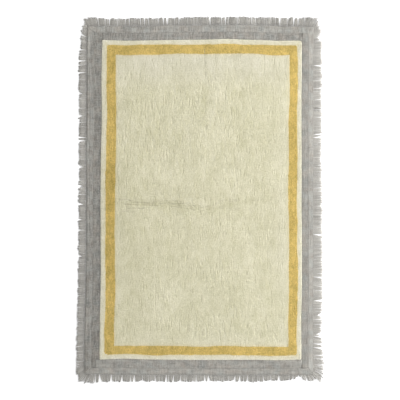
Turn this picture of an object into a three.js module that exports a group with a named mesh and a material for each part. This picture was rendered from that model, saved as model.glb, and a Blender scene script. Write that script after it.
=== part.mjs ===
import * as THREE from 'three';

// Kids cotton rug, lying flat on the floor. Millimetres, +Z up, the floor at Z = 0.
// +X is the right long side and +Y the top short side.
// A tufted pile panel lies in the middle. Four woven border strips are sewn round it,
// and outside them each side has a woven trim tape with a fringe of cut yarn.

// Pile panel
const PILE_THICK = 12;
const PILE_WALL = 6;
const RIM_STEPS = [0, 2, 6, 14];
const RIM_WIDTH = 14;
const PANEL_CORNER = 13;
const PANEL_STEP = 41;

// Long low waves that make the pile's top lumpy.
const LUMPS = [
  { height: 0.4, waveX: 61, waveY: 240, shift: 1.3 },
  { height: 0.4, waveX: -190, waveY: 83, shift: 0.4 },
  { height: 0.3, waveX: 34, waveY: -47, shift: 2.1 },
];

// Woven strips and tapes
const STRIP_THICK = 3.5;
const STRIP_CREASE = 0.4;
const TAPE_THICK = 3;
const SHOULDER = 1;
const SEWN_GAP = 0.3;
const MITRE_GAP = 0.25;
const SEAM_STEP = 1;

// Fringe locks. The gaps between them are at the roots, and open to between the two shares of
// the length out from there. Lean and fan are slopes, and a fan reaches FAN_RUN from a corner.
const PLACE_SPREAD = 0.44;
const LENGTH_SPREAD = 5;
const SKEW_SPREAD = 2.5;
const LEAN = 0.09;
const LEAN_WAVE = 2.3;
const FAN_RUN = 80;
const FAN_EASE = 1.5;
const ROOT_GAP = 1.2;
const CORNER_GAP = 1.4;
const OPENING = { least: 0.03, most: 0.16 };
const LOCK_INSET = 1.3;

// A lock's height at places along it, from the tape out to the cut tip.
const LOCK_RINGS = [
  { along: 0.35, height: 3.4 },
  { along: 0.7, height: 3 },
  { along: 1, height: 1.8 },
];

// The four sides, anticlockwise from the bottom. pile is from the panel's centre to its edge.
// strip, tape and fringe are the widths outside it, and locks the number of fringe locks.
// seams are how far past the panel's edge the short strips start and end, at the long strips.
const SIDES = [
  { name: 'bottom', turn: 0, pile: 794, strip: 41, tape: 31, fringe: 33, locks: 59, seams: [22, 3] },
  { name: 'right', turn: 90, pile: 500, strip: 31, tape: 23, fringe: 33, locks: 90, seams: [3, 3] },
  { name: 'top', turn: 180, pile: 794, strip: 38, tape: 35, fringe: 34, locks: 59, seams: [3, 1] },
  { name: 'left', turn: 270, pile: 500, strip: 40, tape: 34, fringe: 38, locks: 90, seams: [1, 22] },
];

// How far each line of a side wanders out, at nine even stations along the side.
const WANDER = {
  bottom: {
    pile: [-2, -3, 0, 1, 1, 1, 0, 1, -2],
    root: [-3, 1, 2, 1, 0, 2, -1, -2, -3],
    tips: [9, 5, 2, 1, -1, -4, -4, -4, -2],
  },
  right: {
    pile: [1, -2, 1, 2, 0, -1, -3, -2, 1],
    root: [2, 0, 1, 0, -1, 0, -1, -1, -1],
    tips: [5, 0, 4, 0, -2, -2, -2, -3, -3],
  },
  top: {
    pile: [0, 1, 5, 9, 4, 1, -2, -5, -2],
    root: [-2, 0, 4, 4, 3, 2, -4, -4, -5],
    tips: [-8, -1, 2, 6, 3, 0, -5, -9, -8],
  },
  left: {
    pile: [-1, 2, -1, 1, 0, -2, -4, -1, -2],
    root: [3, 2, 1, 1, -2, -3, -2, 2, 1],
    tips: [-10, 3, 1, -1, -2, -1, -2, 1, 0],
  },
};

// The creases that folding for the shop has left, as soft troughs along X or along Y.
// at is the trough's place across its run, sway its wander, and from and to where it fades out.
const CREASES = [
  { along: 'x', at: -22, sway: 5, depth: 2.2, width: 15, from: -640, to: 640 },
  { along: 'y', at: 12, sway: 3, depth: 1.5, width: 13, from: 330, to: 920 },
  { along: 'y', at: -4, sway: 4, depth: 1.2, width: 13, from: -920, to: -560 },
];
const [MIDDLE_CREASE, TOP_CREASE] = CREASES;
const CREASE_STEPS = [-26, -15, -7, 0, 7, 15, 26];
const CREASE_FADE = 120;
const SWAY_WAVE = 110;

const clothColour = { cream: 0xd9d4b6, grey: 0x9a9791 };

// A number from -0.5 to 0.5 that looks random, the same each time for one lock, side and trait.
const TRAITS = { place: 1, lean: 11, opening: 21, length: 31, skew: 41 };
const SCRAMBLE = { lock: 12.9898, trait: 78.233, scale: 43758.5453 };

function uneven(lock, index, trait) {
  const phase = lock * SCRAMBLE.lock + (TRAITS[trait] + index) * SCRAMBLE.trait;
  const wave = Math.sin(phase) * SCRAMBLE.scale;
  return wave - Math.floor(wave) - 0.5;
}

// The table's value at share t of the way along the side, eased between its stations.
function wander(values, t) {
  const place = THREE.MathUtils.clamp(t, 0, 1) * (values.length - 1);
  const station = Math.min(Math.floor(place), values.length - 2);
  const ease = THREE.MathUtils.smoothstep(place - station, 0, 1);
  return THREE.MathUtils.lerp(values[station], values[station + 1], ease);
}

// Each side's lines, as distances out from the panel's centre at a place along the side.
// Along a side, the side before it lies at the start and the side after it at the end.
function lines(index) {
  const side = SIDES[index];
  const before = SIDES[(index + 3) % 4];
  const after = SIDES[(index + 1) % 4];
  const drift = WANDER[side.name];
  const rootReach = (one) => one.pile + one.strip + one.tape;
  const share = (along, start, end) => (along + start) / (start + end);
  const pile = (along) => side.pile + wander(drift.pile, share(along, before.pile, after.pile));
  const rootShare = (along) => share(along, rootReach(before), rootReach(after));
  const rootDrift = (along) => wander(drift.root, rootShare(along));
  const root = (along) => rootReach(side) + rootDrift(along);
  const header = (along) => {
    const pileDrift = pile(along) - side.pile;
    return side.pile + side.strip + (pileDrift + rootDrift(along)) / 2;
  };
  const tips = (along) => rootReach(side) + side.fringe + wander(drift.tips, rootShare(along));
  return { side, pile, header, root, tips };
}

const sideLines = SIDES.map((_, index) => lines(index));

// How far out a line of the side before and of the side after is, where it meets this side's.
function cornerReaches(index, line) {
  const before = sideLines[(index + 3) % 4][line];
  const after = sideLines[(index + 1) % 4][line];
  return [before(Infinity), after(-Infinity)];
}

// How deep the creases press at a point of the rug.
function creaseDepth(x, y) {
  return CREASES.reduce((sum, crease) => {
    const run = crease.along === 'x' ? x : y;
    const across = crease.along === 'x' ? y : x;
    const centre = crease.at + crease.sway * Math.sin(run / SWAY_WAVE);
    const fadeIn = THREE.MathUtils.smoothstep(run, crease.from, crease.from + CREASE_FADE);
    const fadeOut = 1 - THREE.MathUtils.smoothstep(run, crease.to - CREASE_FADE, crease.to);
    const off = (across - centre) / crease.width;
    return sum + crease.depth * fadeIn * fadeOut * Math.exp(-off * off);
  }, 0);
}

// Places across the panel: close together at both rims and by the crease, even elsewhere.
function panelPlaces(half, crease) {
  const creaseReach = Math.max(...CREASE_STEPS) + PANEL_STEP / 2;
  const inside = half - RIM_WIDTH;
  const count = Math.round((2 * inside) / PANEL_STEP);
  const even = Array.from({ length: count - 1 }, (_, i) => ((i + 1) * 2 * inside) / count - inside);
  const places = [
    ...RIM_STEPS.map((step) => step - half),
    ...even.filter((place) => Math.abs(place - crease) > creaseReach),
    ...CREASE_STEPS.map((step) => crease + step),
    ...RIM_STEPS.map((step) => half - step),
  ];
  return places.sort((a, b) => a - b);
}

const panelColumns = panelPlaces(SIDES[1].pile, TOP_CREASE.at);
const panelRows = panelPlaces(SIDES[0].pile, MIDDLE_CREASE.at);

// A closed skin of points and triangles.
class Skin {
  constructor() {
    this.points = [];
    this.faces = [];
  }

  point(x, y, z) {
    this.points.push(x, y, z);
    return this.points.length / 3 - 1;
  }

  triangle(a, b, c) {
    this.faces.push(a, b, c);
  }

  quad(a, b, c, d) {
    this.triangle(a, b, c);
    this.triangle(a, c, d);
  }

  // Joins two rings of the same count, the second one further along.
  join(first, second) {
    first.forEach((_, j) => {
      const next = (j + 1) % first.length;
      this.quad(first[j], second[j], second[next], first[next]);
    });
  }

  // Closes a ring with a fan from its first point.
  close(ring) {
    for (let j = 1; j < ring.length - 1; j++) {
      this.triangle(ring[0], ring[j], ring[j + 1]);
    }
  }

  mesh(name, colour) {
    const geometry = new THREE.BufferGeometry();
    geometry.setAttribute('position', new THREE.Float32BufferAttribute(this.points, 3));
    geometry.setIndex(this.faces);
    geometry.computeVertexNormals();
    const material = new THREE.MeshStandardMaterial({ color: colour, roughness: 0.95, metalness: 0 });
    const mesh = new THREE.Mesh(geometry, material);
    mesh.name = name;
    return mesh;
  }
}

// The pile panel: an upright edge, a rounded rim, and a top that is lumpy and creased.
function pilePanel() {
  const [bottom, right, top, left] = sideLines;
  const [columns, rows] = [panelColumns, panelRows];
  const [halfWidth, halfLength] = [right.side.pile, top.side.pile];

  // The square grid is drawn in to the panel's round corners, then out to its wandering edges.
  const place = (column, row) => {
    let [x, y] = [column, row];
    const inX = Math.abs(x) - (halfWidth - PANEL_CORNER);
    const inY = Math.abs(y) - (halfLength - PANEL_CORNER);
    if (inX > 0 && inY > 0) {
      const shrink = Math.max(inX, inY) / Math.hypot(inX, inY);
      x = Math.sign(x) * (halfWidth - PANEL_CORNER + inX * shrink);
      y = Math.sign(y) * (halfLength - PANEL_CORNER + inY * shrink);
    }
    const outX = (at) => (x > 0 ? right.pile(at) : left.pile(-at)) / halfWidth;
    const outY = (at) => (y > 0 ? top.pile(-at) : bottom.pile(at)) / halfLength;
    const drawnX = x * outX(y * outY(x));
    return [drawnX, y * outY(drawnX)];
  };

  const height = (column, row, x, y) => {
    const fromRim = Math.min(halfWidth - Math.abs(column), halfLength - Math.abs(row));
    const roll = 1 - Math.min(fromRim / RIM_WIDTH, 1);
    const lump = LUMPS.reduce((sum, one) => {
      return sum + one.height * Math.sin(x / one.waveX + y / one.waveY + one.shift);
    }, 0);
    const full = PILE_THICK + lump - creaseDepth(x, y);
    return PILE_WALL + (full - PILE_WALL) * Math.sqrt(1 - roll * roll);
  };

  const skin = new Skin();
  const grid = rows.map((row) => columns.map((column) => {
    const [x, y] = place(column, row);
    return skin.point(x, y, height(column, row, x, y));
  }));
  for (let r = 0; r < rows.length - 1; r++) {
    for (let c = 0; c < columns.length - 1; c++) {
      skin.quad(grid[r][c], grid[r][c + 1], grid[r + 1][c + 1], grid[r + 1][c]);
    }
  }
  const rim = [
    ...grid[0].slice(0, -1),
    ...grid.slice(0, -1).map((row) => row[columns.length - 1]),
    ...grid[rows.length - 1].slice(1).reverse(),
    ...grid.slice(1).map((row) => row[0]).reverse(),
  ];
  const foot = rim.map((i) => skin.point(skin.points[3 * i], skin.points[3 * i + 1], 0));
  const centre = skin.point(0, 0, 0);
  rim.forEach((_, i) => {
    const next = (i + 1) % rim.length;
    skin.quad(foot[i], foot[next], rim[next], rim[i]);
    skin.triangle(centre, foot[next], foot[i]);
  });
  return skin.mesh('pile_panel', clothColour.cream);
}

// Turns a mesh made along the bottom side round to its own side.
function turned(mesh, side) {
  mesh.rotation.z = THREE.MathUtils.degToRad(side.turn);
  return mesh;
}

// A woven border strip. The long ones run the rug's full length and the short ones lie between.
function borderStrip(index) {
  const { side, pile, header } = sideLines[index];
  const isLong = index % 2 === 1;
  const panelEnds = cornerReaches(index, 'pile');
  const headerEnds = cornerReaches(index, 'header').map((reach) => reach - SEWN_GAP);
  const seamEnds = panelEnds.map((reach, end) => reach + side.seams[end]);
  const [start, end] = isLong ? headerEnds : seamEnds;

  // The long strip is cut back at its ends, where the short strip's end passes the panel's edge.
  const inner = (along) => {
    const near = along < 0 ? 0 : 1;
    const past = THREE.MathUtils.smoothstep(Math.abs(along), panelEnds[near] - SEAM_STEP, panelEnds[near]);
    return pile(along) + SEWN_GAP + (isLong ? past * side.seams[near] : 0);
  };
  const places = isLong ? panelRows : panelColumns;
  const facing = side.turn > 90 ? -1 : 1;
  const cuts = isLong ? [-1, 1].flatMap((sign) => {
    const reach = panelEnds[sign < 0 ? 0 : 1];
    return [sign * reach, sign * (reach - SEAM_STEP)];
  }) : [];
  const fixed = [-start, ...cuts, end];
  const clear = places
    .map((place) => facing * place)
    .filter((place) => fixed.every((one) => Math.abs(place - one) > 2 * SEAM_STEP));
  const stations = [...fixed, ...clear].sort((a, b) => a - b);

  const skin = new Skin();
  const rings = stations.map((along) => {
    const low = inner(along);
    const high = header(along) - SEWN_GAP;
    const spot = new THREE.Vector2(along, -(low + high) / 2);
    spot.rotateAround(new THREE.Vector2(), THREE.MathUtils.degToRad(side.turn));
    const top = STRIP_THICK - STRIP_CREASE * creaseDepth(spot.x, spot.y);
    const section = [
      [low, 0],
      [high, 0],
      [high, top - SHOULDER],
      [high - SHOULDER, top],
      [low + SHOULDER, top],
      [low, top - SHOULDER],
    ];
    return section.map(([out, z]) => skin.point(along, -out, z));
  });
  skin.close(rings[0]);
  for (let r = 0; r < rings.length - 1; r++) {
    skin.join(rings[r], rings[r + 1]);
  }
  skin.close([...rings[rings.length - 1]].reverse());
  return turned(skin.mesh(`border_${side.name}`, clothColour.grey), side);
}

// The lines between neighbouring locks: where each starts on the tape and how it leans.
// Towards a corner they fan out to the corner's diagonal.
function lockParts(index, start, end) {
  const { side } = sideLines[index];
  const pitch = (end - start) / side.locks;
  return Array.from({ length: side.locks + 1 }, (_, lock) => {
    const isEnd = lock === 0 || lock === side.locks;
    const shift = isEnd ? 0 : PLACE_SPREAD * uneven(lock, index, 'place');
    const root = start + (lock + shift) * pitch;
    const fanStart = Math.max(0, 1 - (root - start) / FAN_RUN) ** FAN_EASE;
    const fanEnd = Math.max(0, 1 - (end - root) / FAN_RUN) ** FAN_EASE;
    const lean = LEAN * (Math.sin(lock / LEAN_WAVE + index) + uneven(lock, index, 'lean'));
    const openness = (uneven(lock, index, 'opening') + 0.5) ** 3;
    return {
      root,
      slope: fanEnd - fanStart + lean * (1 - fanStart) * (1 - fanEnd),
      gap: isEnd ? CORNER_GAP : ROOT_GAP,
      opening: THREE.MathUtils.lerp(OPENING.least, OPENING.most, openness),
    };
  });
}

// A side's trim: the woven tape, mitred at the corners, and its fringe of cut locks.
// The locks' roots are fused into the tape's outer edge, and they lie level on the floor.
function fringeTrim(index) {
  const { side, header, root, tips } = sideLines[index];
  const rootEnds = cornerReaches(index, 'root').map((reach) => reach - MITRE_GAP);
  const headerEnds = cornerReaches(index, 'header').map((reach) => reach - MITRE_GAP);
  const [rootStart, rootEnd] = [-rootEnds[0], rootEnds[1]];
  const parts = lockParts(index, rootStart, rootEnd);

  const skin = new Skin();
  const pair = (along, out) => [skin.point(along, -out, 0), skin.point(along, -out, TAPE_THICK)];
  const inward = parts.map((part) => {
    const share = (part.root - rootStart) / (rootEnd - rootStart);
    const along = THREE.MathUtils.lerp(-headerEnds[0], headerEnds[1], share);
    return pair(along, header(along));
  });
  const outerStart = pair(rootStart, root(rootStart));
  const outerEnd = pair(rootEnd, root(rootEnd));
  let last = outerStart;

  for (let lock = 0; lock < side.locks; lock++) {
    const [near, far] = [parts[lock], parts[lock + 1]];
    const edge = (part, sign, out) => {
      const clear = part.gap / 2 + part.opening * out;
      return part.root + part.slope * out + sign * clear;
    };
    const lean = (near.slope + far.slope) / 2;
    const middle = (near.root + far.root) / 2;
    const length = tips(middle) - root(middle) + LENGTH_SPREAD * uneven(lock, index, 'length');
    const reach = length / Math.hypot(1, lean);
    const skew = SKEW_SPREAD * uneven(lock, index, 'skew');
    const [a, b] = [edge(near, 1, 0), edge(far, -1, 0)];
    const [nearFoot, nearTop] = pair(a, root(a));
    const [farFoot, farTop] = pair(b, root(b));

    // the tape between this lock and the last one, then the tape behind this lock
    const [behindFoot, behindTop] = inward[lock];
    const [aheadFoot, aheadTop] = inward[lock + 1];
    skin.triangle(behindTop, last[1], nearTop);
    skin.triangle(behindFoot, nearFoot, last[0]);
    skin.quad(last[0], nearFoot, nearTop, last[1]);
    skin.triangle(behindTop, nearTop, farTop);
    skin.triangle(behindTop, farTop, aheadTop);
    skin.triangle(behindFoot, farFoot, nearFoot);
    skin.triangle(behindFoot, aheadFoot, farFoot);
    skin.quad(aheadFoot, behindFoot, behindTop, aheadTop);

    // the lock itself, from its root out to its cut tip
    let ring = [nearFoot, farFoot, farTop, nearTop];
    LOCK_RINGS.forEach(({ along, height }) => {
      const nearOut = reach * along - skew * along;
      const farOut = reach * along + skew * along;
      const [nearAt, farAt] = [edge(near, 1, nearOut), edge(far, -1, farOut)];
      const [nearEdge, farEdge] = [root(a) + nearOut, root(b) + farOut];
      const next = [
        skin.point(nearAt, -nearEdge, 0),
        skin.point(farAt, -farEdge, 0),
        skin.point(farAt - LOCK_INSET, -farEdge, height),
        skin.point(nearAt + LOCK_INSET, -nearEdge, height),
      ];
      skin.join(next, ring);
      ring = next;
    });
    skin.quad(...ring);
    last = [farFoot, farTop];
  }

  const [lastFoot, lastTop] = inward[side.locks];
  skin.triangle(lastTop, last[1], outerEnd[1]);
  skin.triangle(lastFoot, outerEnd[0], last[0]);
  skin.quad(last[0], outerEnd[0], outerEnd[1], last[1]);
  skin.quad(inward[0][0], outerStart[0], outerStart[1], inward[0][1]);
  skin.quad(outerEnd[0], lastFoot, lastTop, outerEnd[1]);
  return turned(skin.mesh(`fringe_${side.name}`, clothColour.grey), side);
}

const rug = new THREE.Group();
rug.add(pilePanel());
SIDES.forEach((_, index) => {
  rug.add(borderStrip(index), fringeTrim(index));
});

// The origin is under the middle of the rug's outline.
rug.updateMatrixWorld(true);
const middle = new THREE.Box3().setFromObject(rug).getCenter(new THREE.Vector3());
rug.position.set(-middle.x, -middle.y, 0);

export default rug;
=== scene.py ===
import math

import bpy
import numpy as np
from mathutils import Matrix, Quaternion, Vector


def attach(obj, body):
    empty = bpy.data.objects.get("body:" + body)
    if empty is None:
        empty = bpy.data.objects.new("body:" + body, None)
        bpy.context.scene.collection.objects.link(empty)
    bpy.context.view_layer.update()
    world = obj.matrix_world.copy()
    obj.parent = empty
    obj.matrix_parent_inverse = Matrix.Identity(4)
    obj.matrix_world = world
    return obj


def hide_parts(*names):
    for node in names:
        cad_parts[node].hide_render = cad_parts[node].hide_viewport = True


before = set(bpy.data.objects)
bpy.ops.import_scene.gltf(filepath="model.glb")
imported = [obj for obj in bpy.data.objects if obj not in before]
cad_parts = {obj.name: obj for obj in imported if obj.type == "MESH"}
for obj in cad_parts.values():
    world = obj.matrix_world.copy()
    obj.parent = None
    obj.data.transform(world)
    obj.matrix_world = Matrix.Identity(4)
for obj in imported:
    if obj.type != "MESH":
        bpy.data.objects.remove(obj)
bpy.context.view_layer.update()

# The backing is the panel's ground cloth: one piece of plain cotton canvas, cut to the panel's
# outline, that holds every tuft. It lies flat on the floor, and its edge wanders as the rug's does.
# Lengths are in millimetres round the panel's centre. A side's places run along it, anticlockwise.
RUG_SHIFT = np.array([11.44, 0.32, 0.0])
SIDES = [
    {"name": "bottom", "turn": 0, "pile": 794, "drift": [-2, -6, -3, -2, -2, -3, -4, -3, -6]},
    {"name": "right", "turn": 90, "pile": 500, "drift": [-3, -4, -1, -2, -4, -4.5, -6, -5, -5]},
    {"name": "top", "turn": 180, "pile": 794, "drift": [0, -2, 2, 6, 2, 0, -3, -6, -2]},
    {"name": "left", "turn": 270, "pile": 500, "drift": [-2, 0, -3, 0, 0, -2, -4.5, -1.5, -1]},
]
HALF_WIDTH = SIDES[1]["pile"]
HALF_LENGTH = SIDES[0]["pile"]
PANEL_CORNERS = {"bottom left": 4, "bottom right": 8, "top right": 14, "top left": 5}
BACKING_THICK = 1.5
BACKING_INSET = 1.5
BACKING_STEP = 40
CANVAS_PITCH = 0.0024
CANVAS_RELIEF = 0.0005
CANVAS_COLOUR = (0.66, 0.62, 0.48)


def smooth(share):
    share = np.clip(share, 0, 1)
    return share * share * (3 - 2 * share)


def eased(values, share):
    """A table's value at a share of the way along a side, eased between its even stations."""
    values = np.array(values, float)
    place = np.clip(share, 0, 1) * (len(values) - 1)
    station = np.minimum(place.astype(int), len(values) - 2)
    ease = smooth(place - station)
    return values[station] * (1 - ease) + values[station + 1] * ease


def pile_reach(index):
    return SIDES[index]["pile"]


def both_reaches(index, reach):
    """How far out the side before this one and the side after it reach."""
    return reach((index + 3) % 4), reach((index + 1) % 4)


def side_share(index, along, reach):
    """How far along a side places are: 0 where the side before it ends, 1 where the next one does."""
    before, after = both_reaches(index, reach)
    return (np.asarray(along, float) + before) / (before + after)


def pile_edge(index, along):
    """How far out from the panel's centre a side's pile ends."""
    return pile_reach(index) + eased(SIDES[index]["drift"], side_share(index, along, pile_reach))


def on_rug(index, along, out):
    """X and Y of places along a side and out from the centre."""
    turn = math.radians(SIDES[index]["turn"])
    cosine, sine = round(math.cos(turn)), round(math.sin(turn))
    return along * cosine + out * sine, along * sine - out * cosine


def panel_place(column, row):
    """Draws places of an even rectangle in to the round corners, then out to the uneven edges."""
    upper = np.where(column > 0, PANEL_CORNERS["top right"], PANEL_CORNERS["top left"])
    lower = np.where(column > 0, PANEL_CORNERS["bottom right"], PANEL_CORNERS["bottom left"])
    radius = np.where(row > 0, upper, lower)
    in_x = np.abs(column) - (HALF_WIDTH - radius)
    in_y = np.abs(row) - (HALF_LENGTH - radius)
    corner = (in_x > 0) & (in_y > 0)
    shrink = np.where(corner, np.maximum(in_x, in_y) / np.maximum(np.hypot(in_x, in_y), 1e-6), 1)
    x = np.where(corner, np.sign(column) * (HALF_WIDTH - radius + in_x * shrink), column)
    y = np.where(corner, np.sign(row) * (HALF_LENGTH - radius + in_y * shrink), row)

    def out_x(at):
        return np.where(x > 0, pile_edge(1, at), pile_edge(3, -at)) / HALF_WIDTH

    def out_y(at):
        return np.where(y > 0, pile_edge(2, -at), pile_edge(0, at)) / HALF_LENGTH

    drawn_x = x * out_x(y * out_y(x))
    return drawn_x, y * out_y(drawn_x)


class Amount:
    """A number that changes over a surface: a node's socket that can be used in sums."""

    def __init__(self, finish, socket):
        self.finish = finish
        self.socket = socket

    def worked(self, operation, *values):
        return self.finish.node("Math", {"operation": operation}, dict(enumerate(values)))

    def __add__(self, other):
        return self.worked("ADD", self, other)

    def __sub__(self, other):
        return self.worked("SUBTRACT", self, other)

    def __rsub__(self, other):
        return self.worked("SUBTRACT", other, self)

    def __mul__(self, other):
        return self.worked("MULTIPLY", self, other)

    def __truediv__(self, other):
        return self.worked("DIVIDE", self, other)

    def __abs__(self):
        return self.worked("ABSOLUTE", self)

    def wave(self):
        """The sine of this many whole turns."""
        return self.worked("SINE", self * math.tau)

    __radd__ = __add__
    __rmul__ = __mul__


class Finish:
    """A cotton finish: one material of nodes, with its colour and its fine relief."""

    def __init__(self, name):
        self.material = bpy.data.materials.new(name)
        self.material.use_nodes = True
        self.tree = self.material.node_tree
        self.tree.nodes.clear()

    def node(self, kind, settings, inputs, out=0):
        made = self.tree.nodes.new(f"ShaderNode{kind}")
        for setting, value in settings.items():
            setattr(made, setting, value)
        for name, value in inputs.items():
            if isinstance(value, Amount):
                self.tree.links.new(value.socket, made.inputs[name])
            else:
                made.inputs[name].default_value = value
        return Amount(self, made.outputs[out]) if made.outputs else self.material

    def place(self, per_metre):
        """The surface's place, counted in so many units a metre each way."""
        position = self.node("TexCoord", {}, {}, "Object")
        return self.node("VectorMath", {"operation": "MULTIPLY"}, {0: position, 1: per_metre})

    def along(self, axis, per_metre):
        """The surface's place along one axis."""
        return self.node("SeparateXYZ", {}, {0: self.place((per_metre,) * 3)}, axis)

    def number(self, name):
        """A number that the mesh keeps for each of its points."""
        return self.node("Attribute", {"attribute_name": name}, {}, "Fac")

    def unevenness(self, per_metre, detail=2.0, shift=0.0, sway=0.0):
        """Soft random unevenness, from about -0.5 to 0.5. sway bends it where it runs straight."""
        place = self.place(per_metre)
        moved = self.node("VectorMath", {"operation": "ADD"}, {0: place, 1: (shift,) * 3})
        inputs = {"Vector": moved, "Scale": 1.0, "Detail": detail, "Distortion": sway}
        return self.node("TexNoise", {}, inputs) - 0.5

    def mixed(self, share, first, second):
        inputs = {0: share, 6: first, 7: second}
        return self.node("Mix", {"data_type": "RGBA"}, inputs, 2)

    def shaded(self, colour, strength):
        inputs = {0: colour, "Scale": strength}
        return self.node("VectorMath", {"operation": "SCALE"}, inputs)

    def cotton(self, colour, relief, depth, sheen=0.1, roughness=0.95):
        """Dry cotton with this colour, and with a relief that is depth metres deep."""
        bump = self.node("Bump", {}, {"Height": relief, "Distance": depth, "Strength": 1.0})
        inputs = {
            "Base Color": colour,
            "Roughness": roughness,
            "Specular IOR Level": 0.2,
            "Sheen Weight": sheen,
            "Sheen Roughness": 0.6,
            "Normal": bump,
        }
        return self.node("OutputMaterial", {}, {0: self.node("BsdfPrincipled", {}, inputs)})

    def plain_weave(self, pitch):
        """Height of a plain weave, where the yarns of both ways pass over and under in turn."""
        warp = (self.along(0, 1 / pitch) / 2).wave()
        weft = (self.along(1, 1 / pitch) / 2).wave()
        over = warp * weft / 2
        return abs(warp) * (0.5 + over) + abs(weft) * (0.5 - over)


def put_in_scene(name, data):
    made = bpy.data.objects.new(name, data)
    bpy.context.scene.collection.objects.link(made)
    return made


def sewn_piece(name, points, faces, finish, nodes, numbers=None, bake_map=None):
    """A piece of the rug, from its points and arrays of faces, that stands for CAD nodes."""
    mesh = bpy.data.meshes.new(name)
    places = (np.asarray(points, float) + RUG_SHIFT) / 1000
    corners = np.concatenate([part.ravel() for part in faces]).astype(np.int32)
    sizes = np.concatenate([np.full(len(part), part.shape[1]) for part in faces])
    starts = np.concatenate([[0], np.cumsum(sizes)[:-1]]).astype(np.int32)
    mesh.vertices.add(len(places))
    mesh.vertices.foreach_set("co", places.astype(np.float32).ravel())
    mesh.loops.add(len(corners))
    mesh.loops.foreach_set("vertex_index", corners)
    mesh.polygons.add(len(starts))
    mesh.polygons.foreach_set("loop_start", starts)
    mesh.polygons.foreach_set("use_smooth", np.ones(len(starts), bool))
    for number, values in (numbers or {}).items():
        kept = mesh.attributes.new(number, "FLOAT", "POINT")
        kept.data.foreach_set("value", values.astype(np.float32).ravel())
    if bake_map is not None:
        layer = mesh.uv_layers.new(name="OFBake")
        layer.uv.foreach_set("vector", bake_map.astype(np.float32).ravel())
    mesh.update(calc_edges=True)
    mesh.validate()
    mesh.materials.append(finish)
    piece = put_in_scene(name, mesh)
    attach(piece, "root")
    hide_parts(*nodes)
    return piece


def canvas_finish():
    finish = Finish("unbleached cotton canvas")
    weave = finish.plain_weave(CANVAS_PITCH)
    slub = finish.unevenness((60, 400, 60)) + finish.unevenness((400, 60, 60), shift=7.0)
    # The weave's hollows are painted darker, as painted shade; the slubs vary its tone.
    colour = finish.shaded(CANVAS_COLOUR, 0.85 + 0.2 * weave + 0.2 * slub)
    return finish.cotton(colour, weave, CANVAS_RELIEF)


def panel_layer(name, step, inset, floor, top, finish):
    """A closed layer of the panel. top gives its height and numbers at places of the even panel."""
    columns = np.linspace(-HALF_WIDTH, HALF_WIDTH, round(2 * HALF_WIDTH / step) + 1)
    rows = np.linspace(-HALF_LENGTH, HALF_LENGTH, round(2 * HALF_LENGTH / step) + 1)
    column, row = np.meshgrid(columns, rows)
    x, y = panel_place(column, row)
    height, numbers = top(column, row, x, y)
    x = x * (1 - inset / HALF_WIDTH)
    y = y * (1 - inset / HALF_LENGTH)
    count = x.size
    upper = np.stack([x, y, height], -1).reshape(-1, 3)
    lower = upper * (1, 1, 0) + (0, 0, floor)
    grid = np.arange(count).reshape(x.shape)
    tops = np.stack([grid[:-1, :-1], grid[:-1, 1:], grid[1:, 1:], grid[1:, :-1]], -1)
    tops = tops.reshape(-1, 4)
    rim = np.concatenate([grid[0, :-1], grid[:-1, -1], grid[-1, :0:-1], grid[:0:-1, 0]])
    ahead = np.roll(rim, -1)
    walls = np.stack([rim + count, ahead + count, ahead, rim], -1)
    faces = [tops, tops[:, ::-1] + count, walls]
    points = np.concatenate([upper, lower])
    kept = {number: np.tile(values.ravel(), 2) for number, values in numbers.items()}
    return sewn_piece(name, points, faces, finish, ["pile_panel"], kept)


def backing_top(column, row, x, y):
    return np.full(x.shape, BACKING_THICK), {}


backing = panel_layer(
    "panel_backing", BACKING_STEP, BACKING_INSET, 0.0, backing_top, canvas_finish()
)


# The pile: tufts of soft cotton yarn, punched through the backing in close rows and cut to one
# height. The field's rows run the rug's length. Round it, rows that follow the edge make the
# mustard line and the narrow cream margin, in dyed and in undyed yarn of the same kind.
PILE_THICK = 12
SHOULDER = {"drop": 1.4, "reach": 95}
RIM = {"height": 9.6, "reach": 6}
RIM_BEND = 9
RIM_LEAN = {"bottom": 0.2, "right": -3.0, "top": 2.0, "left": 1.8}
LUMPS = [
    {"height": 0.4, "wave_x": 61, "wave_y": 240, "shift": 1.3},
    {"height": 0.4, "wave_x": -190, "wave_y": 83, "shift": 0.4},
    {"height": 0.3, "wave_x": 34, "wave_y": -47, "shift": 2.1},
]
# Each fold also paints shade into the pile along its hollow, with a weight of its own.
CREASES = [
    {
        "along": "x", "from": -470, "to": 350, "depth": 1.5, "width": 16, "press": 1.0,
        "path": [-22, -24, -24, -26, -40, -50, -22, -8, -4],
    },
    {
        "along": "y", "from": 330, "to": 920, "depth": 0.6, "width": 20, "press": 0.25,
        "path": [14, 10, 16, 12, 20, 22],
    },
    {
        "along": "y", "from": -920, "to": -560, "depth": 0.8, "width": 13, "press": 0.2,
        "path": [-6, -2, -8, 0],
    },
]
CREASE_FADE = 120

# Patches of the pile painted darker, or, with a share below 0, lighter. The long one down the left
# side is painted shade, where less of the light reaches it; the others make the pile darker or
# lighter there.
SHADE_PATCHES = [
    {"at": (-465, -60), "reach": (110, 480), "press": 0.9},
    {"at": (-330, -130), "reach": (110, 170), "press": 0.45},
    {"at": (72, 540), "reach": (36, 150), "press": -0.8},
    {"at": (0, -788), "reach": (600, 13), "press": -0.6},
]

# How far the field is mixed towards a whiter colour, towards its top and beside the mustard line.
WHITENED = {"from": 520, "to": 660, "inset": 60, "share": 0.16, "beside": 0.1, "reach": 45}


def by_side(**columns):
    """A table's rows, one for each side in turn: bottom, right, top and left."""
    return [dict(zip(columns, row)) for row in zip(*columns.values())]


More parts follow.
